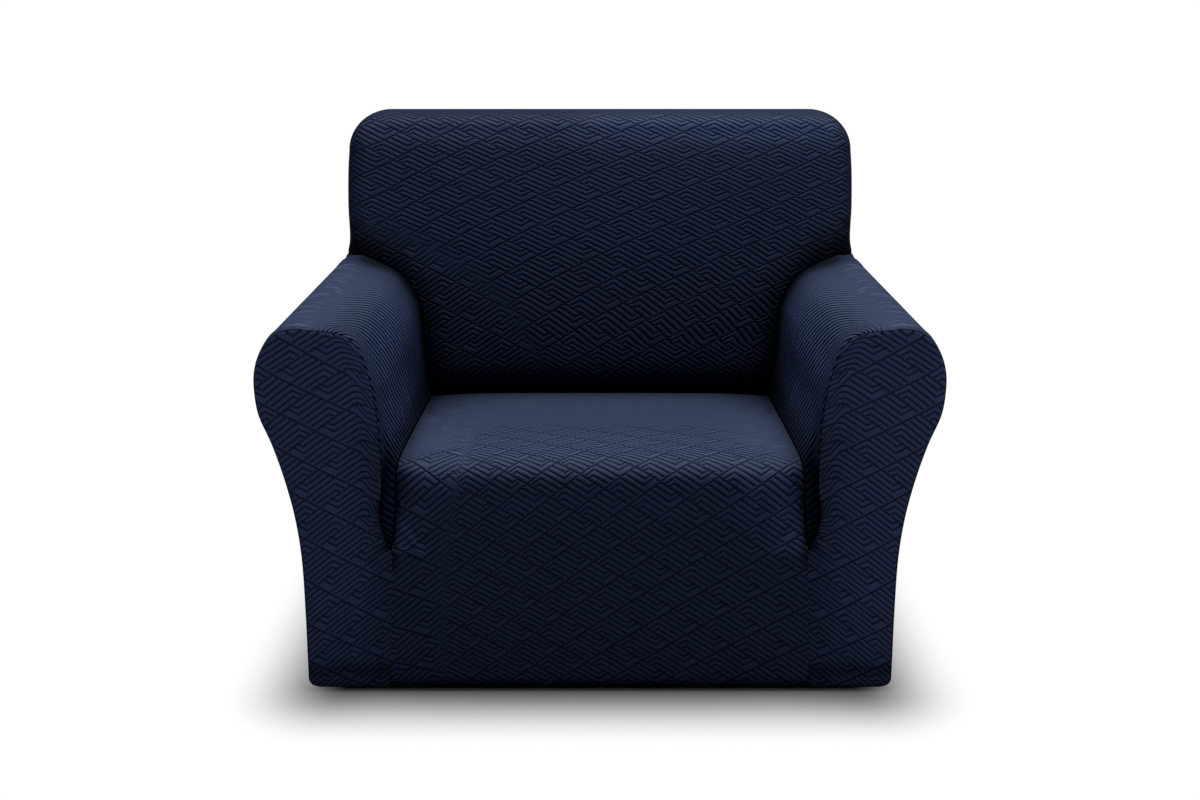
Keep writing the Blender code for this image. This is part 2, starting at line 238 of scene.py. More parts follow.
def armSection(number, steps):
    # one section of the right arm: crease beside the seat, roll, outer side, hem
    ring, edge, creaseDepth, creaseOut, creaseUp = arms["sections"][number][:5]
    rows = np.array(arms["outline"])
    above = rows[1 : arms["crest"] + 1]
    above = above[above[:, 1] > creaseUp + arms["creaseJoin"]]
    shape = []
    for columns in (slice(0, 2), slice(2, 4)):
        inner = smoothLine(np.vstack([[creaseOut, creaseUp], above[:, columns]]))
        outer = smoothLine(rows[arms["crest"] :, columns])
        upTo = alongLine(inner, np.clip(steps / crestStep, 0, 1))
        beyond = alongLine(outer, np.clip((steps - crestStep) / (footStep - crestStep), 0, 1))
        shape.append(np.where((steps <= crestStep)[:, None], upTo, beyond))
    fore, aft = shape
    side = 2 * ramp(*arms["middle"], fore[:, 0]) - 1
    fore = fore - edge * np.stack([side, ramp(*arms["shoulder"], fore[:, 1])], axis=1)
    level = np.where(steps <= crestStep, aft[:, 1], arms["topRear"])
    length = np.where(steps > 0, faceDepth(level), armLength)
    along = (creaseDepth + (ring - creaseDepth) * eased(steps / creaseSteps)) / armLength
    point = fore + (aft - fore) * along[:, None]
    line = np.stack([point[:, 0], along * length, point[:, 1]], axis=1)
    under = steps > footStep
    if under.any():
        foot = armSection(number, np.array([float(footStep)]))[0]
        share = max(0.0, 1 - foot[1] / hem["blend"]) ** 2
        line[under] = hemTurn(foot, (-1, share, 0), steps[under] - footStep)
    return line


def backEdge(places, wrap):
    # the wrap round the back at one wrap row: up the right side from the arm, then round the top corner
    inset, share, lowUp, _ = back["wraps"][wrap]
    side = alongLine(sideLine, np.clip(places / sideSteps, 0, 1))
    cornerOut, cornerUp = sideLine[-1, 0] - back["corner"], sideLine[-1, 1]
    angle = np.clip((places - sideSteps) / cornerSteps, 0, 1) * math.pi / 2
    turning = places > sideSteps
    radius = back["corner"] - inset
    firstInset, _, firstLow, _ = back["wraps"][0]
    out = np.where(turning, cornerOut + radius * np.cos(angle), side[:, 0] - inset)
    climb = (lowUp - firstLow) * (1 - np.clip(places / sideSteps, 0, 1))
    up = np.where(turning, cornerUp + radius * np.sin(angle), side[:, 1] + climb)
    faceUp = np.where(turning, cornerUp + (back["corner"] - firstInset) * np.sin(angle), side[:, 1])
    near = faceDepth(faceUp)
    return np.stack([out, near + (rearDepth(up) - near) * share, up], axis=1)


def armTail(wrap, steps):
    # the arm's outer side beside and behind the back, from the back's side to the hem
    share, corner = back["wraps"][wrap][1], back["wraps"][wrap][3]
    top = backEdge(np.array([0.0]), wrap)[0]
    rows = np.array(arms["outline"])[arms["crest"] + 1 :, 2:]
    rows = rows[rows[:, 1] < top[2] - arms["shoulderClear"]] - np.array([corner, 0])
    wall = smoothLine(np.vstack([[top[0], top[2]], rows]))
    point = alongLine(wall, np.clip((steps - crestStep) / (footStep - crestStep), 0, 1))
    near = faceDepth(arms["topRear"])
    depth = near + (rearDepth(point[:, 1]) - near) * share
    line = np.stack([point[:, 0], depth, point[:, 1]], axis=1)
    line[steps <= crestStep] = top
    under = steps > footStep
    if under.any():
        foot = armTail(wrap, np.array([float(footStep)]))[0]
        gap = rearDepth(0) - foot[1]
        inward = (-1, -(max(0.0, 1 - gap / hem["blend"]) ** 2), 0)
        line[under] = hemTurn(foot, inward, steps[under] - footStep)
    return line


def bowed(middle, edge, shares, bow, levelBow):
    # rows from the left edge to the right one, leaving the middle's line late
    size = np.abs(shares)[None, :]
    x = edge[:, :1] * shares[None, :]
    y = middle[:, 1:2] + (edge[:, 1:2] - middle[:, 1:2]) * size**bow
    z = middle[:, 2:3] + (edge[:, 2:3] - middle[:, 2:3]) * size**levelBow
    return np.stack([x, y, z], axis=2)


print("slipcover: shaping the pieces")
# the shown cloth's points lie 3 to 6 mm apart: the cuts of each whole step, and more beside a seam
innerSteps = finely([7] * crestStep, start=(0.04, 0.1))
outerSteps = crestStep + finely([7] * (footStep - crestStep))
underSteps = footStep + finely([3] * hemSteps)
ringPlaces = finely([6, 6, 6, 6, 7, 10, 13, 14, 14, 13, 11, 9], end=(0.07, 0.02))
tailPlaces = finely([3, 6, 10, 14, 10], end=(0.06, 0.02))
wrapPlaces = finely([5, 8, 13, 16, 12], end=(0.06, 0.02))


def armGrids():
    steps = np.concatenate([innerSteps, outerSteps[1:], underSteps[1:]])
    sectionCount = len(arms["sections"])
    fore = np.array([armSection(number, steps) for number in range(sectionCount)])
    outward = steps >= crestStep
    tail = np.array([armTail(wrap, steps[outward]) for wrap in range(1, len(back["wraps"]))])
    longWay = np.concatenate([fore[:, outward], tail])
    inner = smoothRows(fore[:, ~outward], ringPlaces)
    outer = smoothRows(longWay, ringPlaces)
    rear = smoothRows(longWay, sectionCount - 1 + tailPlaces)
    return np.concatenate([inner, outer], axis=1), rear, steps


armFore, armRear, armSteps = armGrids()
creaseLine = armFore[:, 0]


def armLineAt(steps):
    # the front edge of the arm at given steps
    line = armFore[0]
    return np.stack([np.interp(steps, armSteps, line[:, k]) for k in range(3)], axis=1)


def frontSeam(steps):
    # up the front from the hem's edge to the foot of the slit
    slit = creaseLine[0]
    foot = np.array([hem["footHalf"], slit[1], hem["roll"]])
    under = hemTurn(foot, (0, 1, 0), np.clip(hemSteps - steps, 0, hemSteps))
    wall = foot + (slit - foot) * np.clip((steps - hemSteps) / wallSteps, 0, 1)[:, None]
    return np.where((steps < hemSteps)[:, None], under, wall)


def seatFrontGrid():
    lower = finely([3] * hemSteps + [12] * wallSteps)[:-1]
    edge = np.concatenate([frontSeam(lower), creaseLine])
    middle = frontSeam(lower) * np.array([0, 1, 1])
    table = np.array(arms["sections"])
    drop = table[0, 5] - table[0, 0]
    wall = lower >= hemSteps
    middle[wall, 1] += drop * eased(middle[wall, 2] / table[0, 6])
    seat = smoothRows(table[:, 5:7], ringPlaces)
    seat = np.column_stack([np.zeros(len(seat)), seat])
    # closer columns in the outer fifth, for the creases beside the slits
    outer, besideEdge = 0.8, 0.998
    side = [*np.linspace(outer, 1, 28), besideEdge]
    shares = inOrder([*np.linspace(-outer, outer, 75), *side, *(-share for share in side)])
    return bowed(np.concatenate([middle, seat]), edge, shares, bow=6, levelBow=6)


def insideBackGrids():
    places = finely([5] * sideSteps + [6] * cornerSteps)
    edge = np.concatenate([armFore[-1][armSteps < crestStep], backEdge(places, 0)])
    rows = np.concatenate([innerSteps[innerSteps < crestStep], crestStep + places])
    middle = alongLine(faceLine, rows / (crestStep + sideSteps + cornerSteps))
    middle = np.column_stack([np.zeros(len(middle)), middle])
    shares = evenShares(151, beside=0.993)
    face = bowed(middle, edge, shares, bow=3, levelBow=2)
    across = shares[1:-1, None] * np.array([1, 0, 0]) + np.array([0, 1, 1])
    hoops = []
    for wrap in range(len(back["wraps"])):
        side = backEdge(places, wrap)
        hoops.append(np.concatenate([mirrored(side), side[-1] * across, side[::-1]]))
    return face, smoothRows(np.array(hoops), wrapPlaces)


def outsideBackGrid():
    lower = armSteps >= crestStep
    tail = armRear[-1][::-1]
    places = finely([5] * (sideSteps + cornerSteps))
    edge = np.concatenate([tail, backEdge(places, len(back["wraps"]) - 1)[1:]])
    armRows = (footStep + hemSteps) - armSteps[lower][::-1]
    steps = np.concatenate([armRows, footStep - crestStep + hemSteps + places[1:]])
    walls = steps[-1] - hemSteps
    top = edge[-1, 2]
    height = hem["roll"] + (top - hem["roll"]) * np.clip((steps - hemSteps) / walls, 0, 1)
    foot = np.array([0, rearDepth(0), hem["roll"]])
    under = hemTurn(foot, (0, -1, 0), np.clip(hemSteps - steps, 0, hemSteps))
    wall = np.column_stack([np.zeros(len(steps)), rearDepth(height), height])
    middle = np.where((steps < hemSteps)[:, None], under, wall)
    middle[:, 1] += back["rearCrown"] * ramp(top, top - front["crownRise"], middle[:, 2])
    return bowed(middle, edge, evenShares(151, beside=0.995), bow=4, levelBow=2)


def armFrontGrid():
    rows = finely([3] * hemSteps + [14] * wallSteps + [11] * shoulderStep, end=(0.07, 0.02))
    last = rows[-1]
    low = rows < hemSteps + wallSteps
    inner = np.concatenate([frontSeam(rows[low]), armLineAt(rows[~low] - hemSteps - wallSteps)])
    outer = armLineAt(footStep + hemSteps - rows)
    # columns closer beside the inner edge, for the ripples beside the slit
    crowding, besideEdge = 1.25, 0.992
    shares = inOrder([*(np.linspace(0, 1, 56) ** crowding), besideEdge])
    top = armLineAt(shoulderStep + shares * 2 * (crestStep - shoulderStep))
    side = inner[:, None] + (outer - inner)[:, None] * shares[None, :, None]
    arch = top - (inner[-1] + (outer[-1] - inner[-1]) * shares[:, None])
    grid = side + arch[None] * ((rows / last) ** front["archFade"])[:, None, None]
    swell = ramp(hem["roll"], hem["roll"] + front["crownRise"], grid[:, :, 2])
    grid[:, :, 1] -= front["crown"] * 4 * shares * (1 - shares) * swell
    return grid


foldTaper = 0.6  # how bluntly a fold runs out at its two ends


def nearLine(points, line):
    # distance from each point to a line, and how far along it the nearest place is
    line = np.asarray(line, float)
    best = np.full(len(points), np.inf)
    where = np.zeros(len(points))
    for number, (start, end) in enumerate(zip(line, line[1:])):
        span = end - start
        share = np.clip((points - start) @ span / (span @ span), 0, 1)
        gap = np.linalg.norm(points - start - share[:, None] * span, axis=1)
        closer = gap < best
        best = np.where(closer, gap, best)
        where = np.where(closer, (number + share) / (len(line) - 1), where)
    return best, where


def press(places, folds):
    # how far each place moves outward; a fold has its width, its height and its line in the cloth
    moved = np.zeros(len(places))
    for width, height, *line in folds:
        gap, where = nearLine(places, line)
        ends = np.sin(np.clip(where, 0, 1) * math.pi) ** foldTaper
        moved += height * np.exp(-((gap / width) ** 2)) * ends
    return moved


def shadeOf(places, whole, shadows):
    # painted light and shade: how bright the cloth is made, darker toward a line by strength and width, or
    # brighter where the strength is below zero
    light = np.full(len(places), float(whole))
    for strength, width, *line in shadows:
        light *= 1 - strength * np.exp(-((nearLine(places, line)[0] / width) ** 2))
    return light


def bothSides(lines):
    # each fold or shadow, and the same one on the other side of the middle
    return lines + [(size, rise, *((-x, y) for x, y in line)) for size, rise, *line in lines]


fret = {
    "cell": 6,
    # grooves of one cell: (from, to) in sixths along the rib direction s and the main direction t
    "grooves": [
        ((0, 0), (0, 6)),
        ((0, 3), (5.5, 3)),
        ((1, 0.45), (1, 2)),
        ((1, 2), (5.4, 2)),
        ((2, 0.4), (2, 1)),
        ((2, 1), (5.4, 1)),
        ((0, 0), (5.5, 0)),
        ((0, 4), (4.55, 4)),
        ((4.55, 4), (4.55, 6.2)),
        ((0, 5), (3.6, 5)),
        ((3.6, 5), (3.6, 6.2)),
    ],
    "groove": 0.24,  # half width of the dark line, in sixths
    "rise": (0.02, 0.36),  # how far from a groove's middle a rib starts and is full, in sixths
    "over": 0.2,  # the length that a growth is given for
    "bendsWithin": ((-2.0, 2.0), (-0.95, 1.05)),  # across and up; past these the fret runs on straight
}


def chart(cloth, at, ribs, mains):
    # sixths of the fret's cell: the count at one place, its growth across and up, then its bends
    across, up = np.moveaxis((cloth - np.asarray(at)) / fret["over"], -1, 0)
    u, v = (np.clip(way, *limits) for way, limits in zip((across, up), fret["bendsWithin"]))
    whole = np.ones_like(u)
    terms = np.stack([whole, across, up, u * u, u * v, v * v, u**3, u * u * v, u * v * v, v**3], axis=-1)
    return np.stack([terms[..., : len(way)] @ np.array(way) for way in (ribs, mains)], axis=-1)


def feed(tree, value, socket):
    # a socket takes another node's output or a plain value
    if isinstance(value, bpy.types.NodeSocket):
        tree.links.new(value, socket)
    elif value is not None:
        socket.default_value = value


def mathNode(tree, operation, *values):
    node = tree.nodes.new("ShaderNodeMath")
    node.operation = operation
    for socket, value in zip(node.inputs, values):
        feed(tree, value, socket)
    return node.outputs[0]


def vectorNode(tree, operation, first, second=None):
    node = tree.nodes.new("ShaderNodeVectorMath")
    node.operation = operation
    feed(tree, first, node.inputs[0])
    feed(tree, second, node.inputs["Scale" if operation == "SCALE" else 1])
    return node.outputs["Value" if operation == "LENGTH" else "Vector"]


def mapRange(tree, value, low, high, newLow=0.0, newHigh=1.0):
    node = tree.nodes.new("ShaderNodeMapRange")
    node.interpolation_type = "SMOOTHSTEP"
    tree.links.new(value, node.inputs["Value"])
    for name, number in (("From Min", low), ("From Max", high), ("To Min", newLow), ("To Max", newHigh)):
        node.inputs[name].default_value = number
    return node.outputs["Result"]


def mixNode(tree, share, first, second):
    node = tree.nodes.new("ShaderNodeMix")
    node.data_type = "RGBA"
    for name, value in (("Factor", share), ("A", first), ("B", second)):
        feed(tree, value, node.inputs[name])
    return node.outputs["Result"]


def noiseNode(tree, vector, scale):
    node = tree.nodes.new("ShaderNodeTexNoise")
    node.inputs["Scale"].default_value = scale
    node.inputs["Detail"].default_value = 1.0
    tree.links.new(vector, node.inputs["Vector"])
    return node.outputs["Fac"]


def markNode(tree, name):
    # a value that the mesh holds at its points
    node = tree.nodes.new("ShaderNodeAttribute")
    node.attribute_name = name
    return node.outputs["Fac"]


def uvNode(tree, name):
    node = tree.nodes.new("ShaderNodeUVMap")
    node.uv_map = name
    return node.outputs[0]


def makeFretGroup():
    # how high the rib is and how dark the groove's painted shade is, from the place in the fret's cell
    group = bpy.data.node_groups.new("raisedFret", "ShaderNodeTree")
    group.interface.new_socket("Chart", in_out="INPUT", socket_type="NodeSocketVector")
    group.interface.new_socket("Rib", in_out="OUTPUT", socket_type="NodeSocketFloat")
    group.interface.new_socket("Groove", in_out="OUTPUT", socket_type="NodeSocketFloat")
    start = group.nodes.new("NodeGroupInput")
    end = group.nodes.new("NodeGroupOutput")
    split = group.nodes.new("ShaderNodeSeparateXYZ")
    group.links.new(start.outputs["Chart"], split.inputs[0])
    nearest = None
    for (s0, t0), (s1, t1) in fret["grooves"]:
        gaps = []
        for axis, low, high in ((0, s0, s1), (1, t0, t1)):
            offset = mathNode(group, "SUBTRACT", split.outputs[axis], (low + high) / 2)
            gap = mathNode(group, "PINGPONG", offset, fret["cell"] / 2)
            if high > low:
                gap = mathNode(group, "SUBTRACT", gap, (high - low) / 2)
            gaps.append(gap)
        gap = mathNode(group, "MAXIMUM", *gaps)
        nearest = gap if nearest is None else mathNode(group, "MINIMUM", nearest, gap)
    group.links.new(mapRange(group, nearest, *fret["rise"]), end.inputs["Rib"])
    group.links.new(mapRange(group, nearest, 0.0, fret["groove"], 1.0, 0.0), end.inputs["Groove"])
    return group


clothLook = {
    "ground": (0.0137, 0.0202, 0.0475),
    "rib": (0.0200, 0.0295, 0.0680),
    # painted shade: the grooves' colour is darker, for the shade in the recess between the ribs
    "groove": (0.0034, 0.0056, 0.0155),
    "roughness": 0.62,
    "gloss": 0.015,
    "ribHeight": 0.0016,
    "stitches": 620.0,  # to the metre
    "stitchHeight": 0.00016,
    "stitchTone": 0.22,
    "stitchEdge": (0.3, 0.7),  # the noise's values where a stitch starts and is full
    # painted sheen: cloth that faces up is tinted paler and warmer, for the light it catches
    "paintedSheenTint": (1.07, 1.0, 0.83),  # tint of the cloth that lies flat and catches the light
    "sheenRise": (0.25, 0.85),  # the normal's rise where that tint starts and is full
    "rippleHeight": 0.0019,
    # painted highlight: besides their bumps, the ripples are made paler in colour
    "rippleHighlight": 0.8,
    "rippleEdge": (0.52, 0.63),
}


def makeClothMaterial(fretGroup):
    material = bpy.data.materials.new("navyStretchCloth")
    material.use_nodes = True
    tree = material.node_tree
    shader = tree.nodes["Principled BSDF"]
    raised = tree.nodes.new("ShaderNodeGroup")
    raised.node_tree = fretGroup
    tree.links.new(uvNode(tree, "fretChart"), raised.inputs["Chart"])
    depth = markNode(tree, "ribDepth")
    rib = mathNode(tree, "MULTIPLY", raised.outputs["Rib"], depth)
    groove = mathNode(tree, "MULTIPLY", raised.outputs["Groove"], depth)
    coords = tree.nodes.new("ShaderNodeTexCoord")
    stitches = noiseNode(tree, coords.outputs["Object"], clothLook["stitches"])
    stitch = mapRange(tree, stitches, *clothLook["stitchEdge"])
    waves = noiseNode(tree, uvNode(tree, "rippleChart"), 1.0)
    wave = mapRange(tree, waves, *clothLook["rippleEdge"])
    ripple = mathNode(tree, "MULTIPLY", wave, markNode(tree, "rippled"))

    # ribs over the ground, then the painted shade of the grooves, the painted light and shade of the shade
    # mark, painted highlights on the ripples and the painted sheen tint of what lies flat
    tone = clothLook["stitchTone"]
    share = mathNode(tree, "MULTIPLY_ADD", stitch, tone, mathNode(tree, "MULTIPLY", rib, 1 - tone))
    colour = mixNode(tree, share, (*clothLook["ground"], 1), (*clothLook["rib"], 1))
    colour = mixNode(tree, groove, colour, (*clothLook["groove"], 1))
    paintedRippleLight = mathNode(tree, "MULTIPLY_ADD", ripple, clothLook["rippleHighlight"], 1.0)
    light = mathNode(tree, "MULTIPLY", markNode(tree, "shade"), paintedRippleLight)
    tint = mixNode(tree, markNode(tree, "level"), (1, 1, 1, 1), (*clothLook["paintedSheenTint"], 1))
    colour = vectorNode(tree, "SCALE", colour, light)
    tree.links.new(vectorNode(tree, "MULTIPLY", colour, tint), shader.inputs["Base Color"])

    height = mathNode(tree, "MULTIPLY", rib, clothLook["ribHeight"])
    height = mathNode(tree, "MULTIPLY_ADD", stitch, clothLook["stitchHeight"], height)
    height = mathNode(tree, "MULTIPLY_ADD", ripple, clothLook["rippleHeight"], height)
    bump = tree.nodes.new("ShaderNodeBump")
    bump.inputs["Distance"].default_value = 1.0
    bump.inputs["Strength"].default_value = 1.0
    tree.links.new(height, bump.inputs["Height"])
    tree.links.new(bump.outputs["Normal"], shader.inputs["Normal"])
    shader.inputs["Roughness"].default_value = clothLook["roughness"]
    shader.inputs["Specular IOR Level"].default_value = clothLook["gloss"]
    return material


seam = {
    "turn": 0.0012,  # how far an edge rolls in
    "width": 0.0014,
    # painted shade along the seams, darker where the edges roll in
    "dark": 0.75,
    "foldsEnd": 0.009,  # folds die away this close to an edge
    "merge": 1e-5,
}


def fromLine(points, line):
    # distance from each point to a line of close points, a few at a time to spare memory
    gap = np.full(len(points), np.inf)
    lot = 200
    for start in range(0, len(line), lot):
        apart = np.linalg.norm(points[:, None] - line[None, start : start + lot], axis=2)
        gap = np.minimum(gap, apart.min(axis=1))
    return gap


def joinGrids(grids, outward):
    # one mesh that faces outward, and the cloth measures of its points
    bm = bmesh.new()
    measure = bm.verts.layers.float_vector.new("measure")
    for places, cloth in grids:
        rows, columns = places.shape[:2]
        made = bmesh.ops.create_grid(bm, x_segments=columns - 1, y_segments=rows - 1, size=1)["verts"]
        for vert, place, flat in zip(made, places.reshape(-1, 3), cloth.reshape(rows * columns, -1)):
            vert.co = place - origin
            vert[measure] = (*flat, 0)[:3]
    bmesh.ops.remove_doubles(bm, verts=bm.verts, dist=seam["merge"])
    bmesh.ops.recalc_face_normals(bm, faces=bm.faces)
    facing = sum((face.normal * face.calc_area() for face in bm.faces), Vector())
    if facing.dot(Vector(outward)) < 0:
        bmesh.ops.reverse_faces(bm, faces=bm.faces)
    bm.normal_update()
    return bm, np.array([vert[measure][:] for vert in bm.verts])


def chartCloth(mesh, measures, zones, rippleCount):
    # where each face corner lies in the fret and in the ripples
    corners = np.empty(len(mesh.loops), int)
    mesh.loops.foreach_get("vertex_index", corners)
    spots = measures[corners, :2].reshape(-1, 4, 2)
    drawn = spots + measures[corners, 2:].reshape(-1, 4, 1) * np.array([0, 1])
    centres = spots.mean(axis=1)
    charted = np.zeros_like(spots)
    for cell, inside in zones:
        here = inside(centres)
        charted[here] = chart(drawn[here], **cell)
    for name, values in (("fretChart", charted), ("rippleChart", spots * np.array(rippleCount))):
        mesh.uv_layers.new(name=name).data.foreach_set("uv", values.astype(np.float32).ravel())


def layCloth(name, grids, zones, outward, look):
    # grids: places and their cloth measures in metres, the third how far up the fret is drawn there
    # zones: fret cells and where each one lies, a later one over an earlier one
    # look: the piece's settings, and functions for its ribs, ripples and rolled edges
    bm, measures = joinGrids(grids, outward)
    flats = measures[:, :2]
    places = np.array([vert.co[:] for vert in bm.verts])
    normals = np.array([vert.normal[:] for vert in bm.verts])
    border = places[[vert.index for vert in bm.verts if vert.is_boundary]]
    close = fromLine(places, border)
    rolled = np.exp(-((close / seam["width"]) ** 2)) * (look["rolled"](flats) if "rolled" in look else 1)
    moved = press(flats, look.get("folds", ())) * ramp(0, seam["foldsEnd"], close) - seam["turn"] * rolled
    for vert, place in zip(bm.verts, places + normals * moved[:, None]):
        vert.co = place
    mesh = bpy.data.meshes.new(name)
    bm.to_mesh(mesh)
    bm.free()
    mesh.shade_smooth()
    chartCloth(mesh, measures, zones, look["ripples"]["count"] if "ripples" in look else (1, 1))

    plain = np.ones(len(flats))
    # painted light and shade: the piece's whole brightness and its shadow lines
    shade = shadeOf(flats, look.get("whole", 1.0), look.get("shadows", ()))
    marks = {
        "ribDepth": look["ribs"](flats) if "ribs" in look else plain,
        "rippled": look["rippled"](flats) if "rippled" in look else 0 * plain,
        # painted shade where the edges roll in
        "shade": shade * (1 - seam["dark"] * rolled),
        # how far the cloth faces up, the mask of the painted sheen tint
        "level": ramp(*clothLook["sheenRise"], normals[:, 2]),
    }
    for mark, values in marks.items():
        mesh.attributes.new(mark, "FLOAT", "POINT").data.foreach_set("value", values.astype(np.float32))

    piece = addObject(name, mesh)
    thick = piece.modifiers.new("thickness", "SOLIDIFY")
    thick.thickness = cover["sheet"]
    thick.offset = -1
    return piece


def lengths(places, axis):
    # running lengths along one way of a grid
    steps = np.linalg.norm(np.diff(places, axis=axis), axis=2)
    start = np.zeros_like(np.take(steps, [0], axis=axis))
    return np.concatenate([start, np.cumsum(steps, axis=axis)], axis=axis)


def clothGrid(across, up):
    return np.stack(np.broadcast_arrays(across, up), axis=2)


def everywhere(flats):
    return np.ones(len(flats), bool)


def leftOf(line):
    # which places lie left of a line that runs upward
    line = np.array(line)
    return lambda flats: flats[:, 0] < np.interp(flats[:, 1], line[:, 1], line[:, 0])


def turnedZones(cut):
    # left of the turn line the fret runs the other way
    return [(cut["fret"], everywhere), (cut["leftFret"], leftOf(cut["turnLine"]))]


def fullAwayFromTurn(cut, flats):
    # the ribs are fainter where the fret turns over
    faint = cut["turnFaint"]
    return faint + (1 - faint) * ramp(0, cut["turnWidth"], nearLine(flats, cut["turnLine"])[0])


seatFront = {
    "fret": {
        "at": (0.0, 0.20),
        "ribs": (0.46, 16.0, -22.4, -1.8, 2.0, -0.6),
        "mains": (1.52, 12.45, 20.1, 0.3, -1.15, -0.85),
    },
    # the left part's fret runs the other way
    "leftFret": {
        "at": (-0.29, 0.20),
        "ribs": (5.3, -6.9, -18.7, -3.5, -3.0, 1.9),
        "mains": (5.37, -15.3, 18.3, -0.75, 2.4, -0.6),
    },
    "turnLine": [
        (-0.251, 0.040),
        (-0.247, 0.185),
        (-0.241, 0.252),
        (-0.226, 0.349),
        (-0.212, 0.411),
        (-0.200, 1.200),
    ],
    "turnWidth": 0.012,
    "turnFaint": 0.45,
    # on the stretched seat the fret fades to the rear, and at the sides beyond these half widths
    "fretRear": (0.64, 0.55),
    "fretSides": [(0.40, 0.42), (0.43, 0.32), (0.46, 0.285), (0.50, 0.265), (0.55, 0.245), (0.60, 0.22)],
    "sideFade": 0.08,
    "faintRibs": 0.18,
    # from the front edge back the ribs are clearer
    "edgeAt": (0.41, 0.45),
    "edgeDeeper": 0.5,
    # width, height and line of each fold at the left, from the slit beside the arm
    "folds": [
        (0.0032, 0.0015, (-0.317, 0.315), (-0.303, 0.297), (-0.288, 0.279), (-0.271, 0.256)),
        (0.0045, -0.0016, (-0.311, 0.325), (-0.293, 0.303), (-0.277, 0.284), (-0.260, 0.264)),
        (0.0028, 0.0009, (-0.294, 0.280), (-0.284, 0.267), (-0.275, 0.252)),
        (0.0028, 0.0013, (-0.320, 0.228), (-0.313, 0.212), (-0.304, 0.199)),
        (0.0028, 0.0013, (-0.310, 0.236), (-0.299, 0.224), (-0.289, 0.210)),
        (0.0030, 0.0016, (-0.316, 0.380), (-0.315, 0.357), (-0.310, 0.344), (-0.300, 0.330)),
        (0.0030, -0.0014, (-0.317, 0.352), (-0.314, 0.337), (-0.304, 0.318)),
        (0.0030, 0.0013, (-0.317, 0.340), (-0.313, 0.328), (-0.304, 0.312)),
        (0.0120, -0.0030, (-0.317, 0.800), (-0.292, 0.717), (-0.266, 0.650)),
    ],
    # painted shade along the seat's crease beside each arm, in its rear corners and in the slits
    "shadows": [
        (0.55, 0.022, (-0.318, 0.93), (-0.316, 0.64), (-0.318, 0.45), (-0.318, 0.39)),
        (0.50, 0.090, (-0.32, 0.93), (-0.30, 0.80)),
        (0.60, 0.008, (-0.318, 0.37), (-0.320, 0.24)),
    ],
    # painted shade at the seat's rear under the back, a painted lighter band across the seat, painted shade
    # along the front edge's turn and at the hem
    "middleShadows": [
        (0.50, 0.110, (-0.30, 0.93), (0.30, 0.93)),
        (-0.28, 0.100, (-0.22, 0.48), (0.22, 0.48)),
        (0.38, 0.020, (-0.20, 0.375), (0.20, 0.375)),
        (0.55, 0.014, (-0.33, 0.035), (0.33, 0.035)),
    ],
    # where the edges start to roll in: inside the side seams, above the slit's foot, and at the hem
    "rolledFrom": {"inside": (0.315, 0.300), "slit": (0.263, 0.276), "hem": (0.06, 0.05)},
    "ripples": {"side": (0.20, 0.24), "rear": (0.43, 0.47), "strength": 0.35, "count": (26, 130)},
    "flat": (0.66, 1.00),
    "area": 0.62,
}


def seatRibs(flats):
    # full up to the seat's edge, then only in the stretched middle
    rise, half = np.array(seatFront["fretSides"]).T
    side = np.interp(flats[:, 1], rise, half)
    shown = ramp(side, side - seatFront["sideFade"], np.abs(flats[:, 0]))
    shown = shown * ramp(*seatFront["fretRear"], flats[:, 1])
    faint = seatFront["faintRibs"]
    edge = 1 + seatFront["edgeDeeper"] * ramp(*seatFront["edgeAt"], flats[:, 1])
    return edge * (faint + (1 - faint) * shown) * fullAwayFromTurn(seatFront, flats)


def skirtRolled(flats):
    # below the slits the side seams are pressed flat
    start = seatFront["rolledFrom"]
    above = np.maximum(ramp(*start["inside"], np.abs(flats[:, 0])), ramp(*start["slit"], flats[:, 1]))
    return np.clip(above + ramp(*start["hem"], flats[:, 1]), 0, 1)


def seatRipples(flats):
    # the seat's sides, behind its edge
    ripples = seatFront["ripples"]
    shown = ramp(*ripples["side"], np.abs(flats[:, 0])) * ramp(*ripples["rear"], flats[:, 1])
    return ripples["strength"] * shown


def makeSeatFront():
    print("slipcover: skirt and seat")
    grid = seatFrontGrid()
    rise = lengths(grid[:, [grid.shape[1] // 2]], 0)
    grids = [(grid, clothGrid(grid[:, :, 0], rise))]
    look = {
        **seatFront,
        "folds": bothSides(seatFront["folds"]),
        "shadows": bothSides(seatFront["shadows"]) + seatFront["middleShadows"],
        "ribs": seatRibs,
        "rolled": skirtRolled,
        "rippled": seatRipples,
    }
    return layCloth("seatFront", grids, turnedZones(seatFront), (0, -1, 0.5), look)


